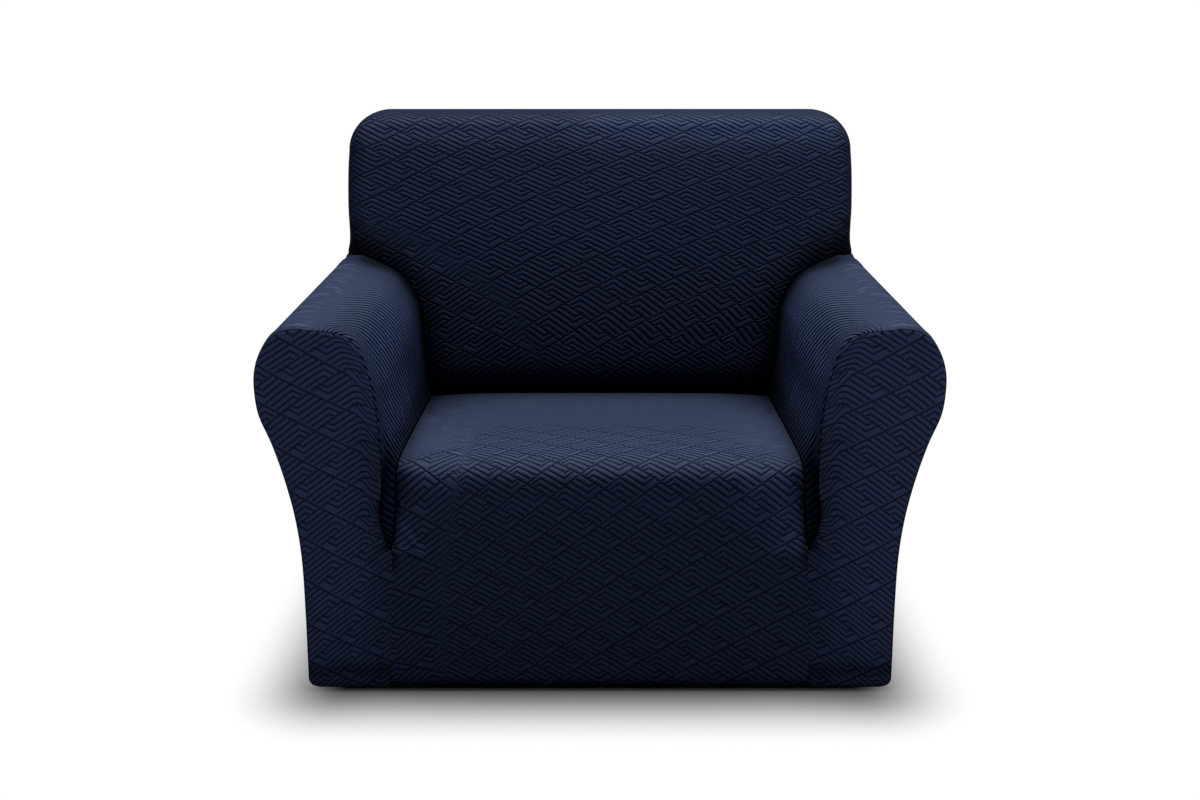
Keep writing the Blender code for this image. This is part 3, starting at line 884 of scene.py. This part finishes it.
insideBack = {
    "fret": {
        "at": (0.0, 0.30),
        "ribs": (3.09, 10.2, -22.0, -0.33, -1.1, -0.77, 0.21, -0.14, 1.23, 0.0),
        "mains": (2.38, 9.9, 20.4, 0.34, -0.75, 2.64, 0.05, -0.13, 1.22, -0.77),
    },
    # the lower left part's fret runs the other way
    "leftFret": {"at": (-0.30, 0.15), "ribs": (2.98, -10.3, -20.0), "mains": (1.17, -12.6, 19.0)},
    "turnLine": [
        (-0.10, 0.06),
        (-0.13, 0.11),
        (-0.18, 0.19),
        (-0.25, 0.25),
        (-0.34, 0.30),
        (-0.43, 0.33),
        (-0.80, 0.36),
    ],
    "turnWidth": 0.035,
    "turnFaint": 0.40,
    # painted shade along the arm's roll and down its inner side
    "shadows": [
        (
            0.85,
            0.036,
            (-0.468, 0.29),
            (-0.428, 0.28),
            (-0.387, 0.25),
            (-0.35, 0.20),
            (-0.33, 0.15),
            (-0.316, 0.045),
        ),
    ],
    # painted shade above the seat and toward the left top, and a painted highlight on the bright turn onto
    # the top
    "middleShadows": [
        (0.60, 0.035, (-0.33, 0.0), (0.33, 0.0)),
        (0.25, 0.080, (-0.44, 0.50), (-0.10, 0.53)),
        (-0.95, 0.026, (-0.42, 0.510), (0.42, 0.510)),
    ],
    "folds": [
        (0.0060, 0.0022, (-0.478, 0.318), (-0.466, 0.312), (-0.448, 0.300)),
        (0.0060, -0.0022, (-0.480, 0.333), (-0.464, 0.328), (-0.444, 0.318)),
        (0.0060, 0.0018, (-0.478, 0.346), (-0.462, 0.342), (-0.446, 0.336)),
    ],
    # the whole face is painted darker, for the shade between the arms
    "whole": 0.66,
    "flat": (1.20, 0.84),
    "area": 0.80,
}


def wrapMeasure(wrap, face):
    # carries the face's cloth measures on round the sides and the top
    around = lengths(wrap, 0)
    sideCount = (wrap.shape[1] - face.shape[1] + 2) // 2
    topCount = wrap.shape[1] - 2 * sideCount
    rim = np.concatenate([face[-sideCount:, 0], face[-1, 1:-1], face[-sideCount:, -1][::-1]])
    side, top = back["side"][-1], back["corner"]
    bend = np.clip((wrap[0, :sideCount, 2] - side[1]) / (top - back["wraps"][0][0]), 0, 1)
    angle = np.arcsin(bend)
    wayX = np.concatenate([-np.cos(angle), np.zeros(topCount), np.cos(angle[::-1])])
    wayY = np.concatenate([np.sin(angle), np.ones(topCount), np.sin(angle[::-1])])
    return rim[None] + around[:, :, None] * np.stack([wayX, wayY], axis=1)[None]


def makeInsideBack():
    print("slipcover: face of the back")
    face, wrap = insideBackGrids()
    middle = face[:, face.shape[1] // 2]
    rise = np.interp(face[:, :, 2], middle[:, 2], lengths(middle[:, None], 0)[:, 0])
    faceCloth = clothGrid(face[:, :, 0], rise)
    wrapCloth = wrapMeasure(wrap, faceCloth)
    grids = [(face, faceCloth), (wrap, wrapCloth)]
    look = {
        **insideBack,
        "folds": bothSides(insideBack["folds"]),
        "shadows": bothSides(insideBack["shadows"]) + insideBack["middleShadows"],
        "ribs": lambda flats: fullAwayFromTurn(insideBack, flats),
    }
    return layCloth("insideBack", grids, turnedZones(insideBack), (0, -1, 0.5), look)


outsideBack = {
    "fret": {"at": (0.0, 0.45), "ribs": (0.0, 10.1, -22.2), "mains": (0.0, 10.1, 20.6)},
    # painted shade along the hem's turn
    "shadows": [(0.55, 0.014, (-0.47, 0.035), (0.47, 0.035))],
    "flat": (0.96, 0.92),
    "area": 0.80,
}


def makeOutsideBack():
    print("slipcover: rear")
    grid = outsideBackGrid()
    rise = lengths(grid, 0)[:, [grid.shape[1] // 2]]
    zones = [(outsideBack["fret"], everywhere)]
    return layCloth("outsideBack", [(grid, clothGrid(-grid[:, :, 0], rise))], zones, (0, 1, 0), outsideBack)


arm = {
    # cloth measures: depth, and round the arm from its crest, outward positive
    "fret": {"at": (0.0735, -0.1354), "ribs": (0.0, 9.7, -17.7), "mains": (0.0, 13.7, 17.5)},
    # stretched over the roll and the inner side, where only its straight ribs show
    "innerFret": {"at": (0.0735, -0.1354), "ribs": (3.0,), "mains": (0.0, 11.2, 12.2)},
    "innerFrom": 0.03,
    # close behind the front seam the ribs turn down along it, below the crest
    "seamTurn": {"width": 0.06, "pull": 0.06, "below": (-0.02, -0.07)},
    "slitFoot": (0.002, 0.014),  # how far from the slit's foot the edge starts and ends rolling in
    "ribDepths": {
        "plain": 0.20,
        "shoulder": (-0.02, -0.07),
        "rear": (0.50, 0.10),
        "shoulderDepth": 2.6,
        "outer": (0.05, 0.12),
        "outerDepth": 0.80,
    },
    "ripples": {
        "crest": (-0.03, 0.005),
        "outer": (0.07, 0.03),
        "rear": (0.54, 0.48),
        "inner": (-0.09, -0.14),
        "front": (0.05, 0.15),
        "innerStrength": 0.5,
        "count": (80, 17),
    },
    "folds": [
        (0.0035, 0.0011, (0.010, -0.10), (0.009, -0.04), (0.011, 0.02), (0.013, 0.06)),
        (0.0035, -0.0008, (0.017, -0.09), (0.016, -0.03), (0.019, 0.05)),
        (0.0040, 0.0008, (0.024, -0.07), (0.023, -0.02), (0.027, 0.05)),
    ],
    # painted shade along the crease at the back and down the inner side, along the seat's crease and inside
    # the slit, and a painted lighter band along the top
    "shadows": [
        (
            0.85,
            0.045,
            (0.53, -0.02),
            (0.549, -0.06),
            (0.543, -0.10),
            (0.539, -0.145),
            (0.53, -0.20),
            (0.51, -0.29),
        ),
        (0.60, 0.120, (0.53, -0.14), (0.53, -0.25), (0.40, -0.29)),
        (0.22, 0.110, (0.50, -0.30), (0.10, -0.32)),
        (-0.12, 0.100, (0.05, 0.0), (0.50, 0.0)),
        (0.50, 0.030, (0.441, -0.295), (0.30, -0.29), (0.06, -0.29), (0.02, -0.31)),
        (0.94, 0.042, (0.0, -0.32), (0.0, -0.50)),
    ],
    "flat": (0.88, 1.40),
    "area": 0.70,
}


def armRibs(flats):
    # plain on top, clear on the inner shoulder near the front, faint toward the rear
    ribs = arm["ribDepths"]
    shoulder = ramp(*ribs["shoulder"], flats[:, 1]) * ramp(*ribs["rear"], flats[:, 0])
    outer = ramp(*ribs["outer"], flats[:, 1])
    return ribs["plain"] + np.maximum(ribs["shoulderDepth"] * shoulder, ribs["outerDepth"] * outer)


def armRipples(flats):
    # short ripples over the outer half of the top, long faint ones down the inner side
    ripples = arm["ripples"]
    top = ramp(*ripples["crest"], flats[:, 1]) * ramp(*ripples["outer"], flats[:, 1])
    top = top * ramp(*ripples["rear"], flats[:, 0])
    inner = ramp(*ripples["inner"], flats[:, 1]) * ramp(*ripples["front"], flats[:, 0])
    return np.maximum(top, ripples["innerStrength"] * inner)


def makeArm(side):
    print("slipcover:", side, "arm")
    across = lengths(armFore, 1)
    crest = int(np.argmin(np.abs(armSteps - crestStep)))
    turn = arm["seamTurn"]
    foreCloth = clothGrid(armFore[:, :, 1], across - across[:, [crest]])
    near = np.clip(1 - foreCloth[:, :, 0] / turn["width"], 0, 1) ** 2
    near = near * ramp(*turn["below"], foreCloth[:, :, 1])
    foreCloth = np.concatenate([foreCloth, -turn["pull"] * near[:, :, None]], axis=2)
    # behind the back it is counted up from the hem, so that the fret runs on
    down = lengths(armRear, 1)
    rearCloth = clothGrid(armRear[:, :, 1], down - down[:, [-1]] + down[0, -1])
    slitFoot = foreCloth[0, 0, :2]
    fore, rear = (armFore, armRear) if side == "right" else (mirrored(armFore), mirrored(armRear))
    outward = (1, 0, 0.5) if side == "right" else (-1, 0, 0.5)
    look = {
        **arm,
        "ribs": armRibs,
        "rolled": lambda flats: ramp(*arm["slitFoot"], np.linalg.norm(flats - slitFoot, axis=1)),
        "rippled": armRipples,
    }
    grids = [(fore, foreCloth), (rear, rearCloth)]
    zones = [(arm["fret"], everywhere), (arm["innerFret"], lambda flats: flats[:, 1] < arm["innerFrom"])]
    return layCloth("arm" + side.title(), grids, zones, outward, look)


armFront = {
    # cloth measures: out from the middle, and up
    "fret": {
        "at": (0.39, 0.30),
        "ribs": (4.62, 10.0, -18.95, 0.3, 0.7, -1.55),
        "mains": (2.40, 14.95, 20.6, 1.6, -2.95, -0.83),
    },
    # beside the inner seam the ribs turn down, above the slit's foot
    "chevrons": {"width": 0.030, "pull": 0.030, "power": 1.35, "above": (0.24, 0.30)},
    # ripples beside the slit
    "folds": [
        (0.0022, 0.0022, (0.333, 0.294), (0.340, 0.288), (0.348, 0.282)),
        (0.0026, -0.0024, (0.333, 0.302), (0.341, 0.297), (0.351, 0.298)),
        (0.0022, 0.0016, (0.333, 0.273), (0.339, 0.267), (0.346, 0.261)),
        (0.0026, -0.0022, (0.333, 0.283), (0.340, 0.277), (0.348, 0.271)),
        (0.0024, 0.0030, (0.331, 0.259), (0.337, 0.249), (0.345, 0.237)),
        (0.0028, -0.0026, (0.332, 0.265), (0.339, 0.258), (0.346, 0.250)),
        (0.0035, -0.0028, (0.328, 0.248), (0.334, 0.238), (0.343, 0.226)),
        (0.0060, -0.0016, (0.340, 0.222), (0.358, 0.216), (0.376, 0.213)),
    ],
    # painted shade in the slit, along the seam to the skirt below it, and at the hem
    "shadows": [
        (0.85, 0.009, (0.335, 0.31), (0.331, 0.28), (0.327, 0.243)),
        (0.31, 0.040, (0.33, 0.40), (0.33, 0.0)),
        (0.50, 0.014, (0.33, 0.035), (0.47, 0.035)),
    ],
    # the whole front is painted brighter, for the light that falls on it
    "whole": 1.62,
    # where the edges start to roll in: at the outer side, above the slit's foot, and at the hem
    "rolledFrom": {"outer": (0.345, 0.360), "slit": (0.233, 0.246), "hem": (0.05, 0.04)},
    "flat": (0.20, 0.62),
    "area": 0.09,
}


def frontRolled(flats):
    # below the slit the seam to the skirt is pressed flat
    start = armFront["rolledFrom"]
    upDown = ramp(*start["slit"], flats[:, 1]) + ramp(*start["hem"], flats[:, 1])
    return np.clip(ramp(*start["outer"], flats[:, 0]) + upDown, 0, 1)


def makeArmFront(side):
    print("slipcover:", side, "arm's front")
    grid = armFrontGrid()
    turn = armFront["chevrons"]
    near = np.clip(1 - (grid[:, :, 0] - grid[:, :1, 0]) / turn["width"], 0, 1) ** turn["power"]
    drawn = turn["pull"] * near * ramp(*turn["above"], grid[:, :, 2])
    cloth = np.stack([grid[:, :, 0], grid[:, :, 2], drawn], axis=2)
    if side == "left":
        grid = mirrored(grid)
    look = {**armFront, "rolled": frontRolled}
    zones = [(armFront["fret"], everywhere)]
    return layCloth("armFront" + side.title(), [(grid, cloth)], zones, (0, -1, 0), look)


# every piece, the node it stands for, its cut size and what it is sewn to
sides = ("left", "right")
bothArms = ["arm_left", "arm_right"]
pieces = [
    (makeSeatFront(), "seat_front", seatFront, [*bothArms, "inside_back"]),
    (makeInsideBack(), "inside_back", insideBack, ["seat_front", "outside_back", *bothArms]),
    (makeOutsideBack(), "outside_back", outsideBack, ["inside_back", *bothArms]),
    *((makeArm(side), "arm_" + side, arm, ["seat_front", "inside_back", "outside_back"]) for side in sides),
    *((makeArmFront(side), "arm_front_" + side, armFront, ["arm_" + side, "seat_front"]) for side in sides),
]
cloth = makeClothMaterial(makeFretGroup())
for piece, node, cut, sewnTo in pieces:
    piece.data.materials.append(cloth)
    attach(piece, "root")
    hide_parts(node)

studio = {
    # painted contact shadow: close to the cover the floor has this darker colour, farther out it glows
    # white
    "floorSeen": 0.20,  # how pale the floor looks close to the cover
    "floorLit": 0.15,  # how much light it throws back on the cover
    "glowLit": 0.42,
    "floorSize": 30.0,
    "roughness": 0.95,
    "footprint": ((0.0, -0.30), (0.40, 0.40)),  # the middle of the cover's foot, and half its size
    "glowAway": (0.0, 0.20),  # from there, where the floor turns as white as the backdrop
    "backdrop": 1.0,
    "skyLight": 0.03,
    "lamps": [
        # place, what it points at, width and length, power
        ((0.20, 0.16, 3.40), (0.0, 0.1, -0.5), (2.8, 1.3), 392.0),
        ((-1.5, -1.25, 0.0), (-0.4, -0.6, -0.3), (0.6, 0.8), 4.0),
        ((1.5, -1.25, 0.0), (0.4, -0.6, -0.3), (0.6, 0.8), 5.5),
    ],
}


def seenAndLit(tree, seen, lit):
    # one value for what the camera sees, another for the light that falls on the cover
    path = tree.nodes.new("ShaderNodeLightPath")
    return mathNode(tree, "MULTIPLY_ADD", path.outputs["Is Camera Ray"], seen - lit, lit)


def makeFloor():
    bm = bmesh.new()
    bmesh.ops.create_grid(bm, x_segments=1, y_segments=1, size=studio["floorSize"])
    bmesh.ops.translate(bm, verts=bm.verts, vec=(0, 0, floorLevel))
    mesh = bpy.data.meshes.new("floor")
    bm.to_mesh(mesh)
    bm.free()
    floor = addObject("floor", mesh)
    paper = bpy.data.materials.new("palePaper")
    paper.use_nodes = True
    tree = paper.node_tree
    shader = tree.nodes["Principled BSDF"]
    grey = seenAndLit(tree, studio["floorSeen"], studio["floorLit"])
    coords = tree.nodes.new("ShaderNodeTexCoord")
    middle, half = studio["footprint"]
    place = coords.outputs["Object"]
    # how far a place on the floor lies outside the cover's footprint
    steps = (
        ("SUBTRACT", (*middle, floorLevel)),
        ("ABSOLUTE", None),
        ("SUBTRACT", (*half, 0)),
        ("MAXIMUM", (0, 0, 0)),
        ("LENGTH", None),
    )
    for operation, value in steps:
        place = vectorNode(tree, operation, place, value)
    # painted contact shadow: away from the cover's foot the floor glows white, close to it it keeps its
    # darker colour
    glow = mapRange(tree, place, *studio["glowAway"])
    paperPart = mathNode(tree, "MULTIPLY", grey, mathNode(tree, "SUBTRACT", 1.0, glow))
    tree.links.new(paperPart, shader.inputs["Base Color"])
    shader.inputs["Emission Color"].default_value = (1, 1, 1, 1)
    glowPart = mathNode(tree, "MULTIPLY", glow, seenAndLit(tree, 1.0, studio["glowLit"]))
    tree.links.new(glowPart, shader.inputs["Emission Strength"])
    shader.inputs["Roughness"].default_value = studio["roughness"]
    shader.inputs["Specular IOR Level"].default_value = 0.0
    mesh.materials.append(paper)


def makeBackdrop():
    world = bpy.data.worlds.new("paleStudio")
    world.use_nodes = True
    tree = world.node_tree
    background = tree.nodes["Background"]
    background.inputs["Color"].default_value = (1, 1, 1, 1)
    light = seenAndLit(tree, studio["backdrop"], studio["skyLight"])
    tree.links.new(light, background.inputs["Strength"])
    bpy.context.scene.world = world
    bpy.context.scene.view_settings.view_transform = "Standard"


def makeLamps():
    for number, (place, aim, size, power) in enumerate(studio["lamps"]):
        data = bpy.data.lights.new(f"softLamp{number}", "AREA")
        data.shape = "RECTANGLE"
        data.size, data.size_y = size
        data.energy = power
        lamp = addObject(f"softLamp{number}", data)
        lamp.location = place
        lamp.rotation_euler = (Vector(aim) - Vector(place)).to_track_quat("-Z", "Y").to_euler()


def makeCamera():
    data = bpy.data.cameras.new("camera")
    data.lens = camera["lens"]
    data.sensor_width = camera["sensor"]
    eye = addObject("camera", data)
    eye.location = Vector((0, -camera["away"], camera["above"])) - Vector(origin)
    eye.rotation_euler = (math.radians(90 - camera["down"]), 0, 0)
    bpy.context.scene.camera = eye


makeFloor()
makeBackdrop()
makeLamps()
makeCamera()
print("slipcover: done")
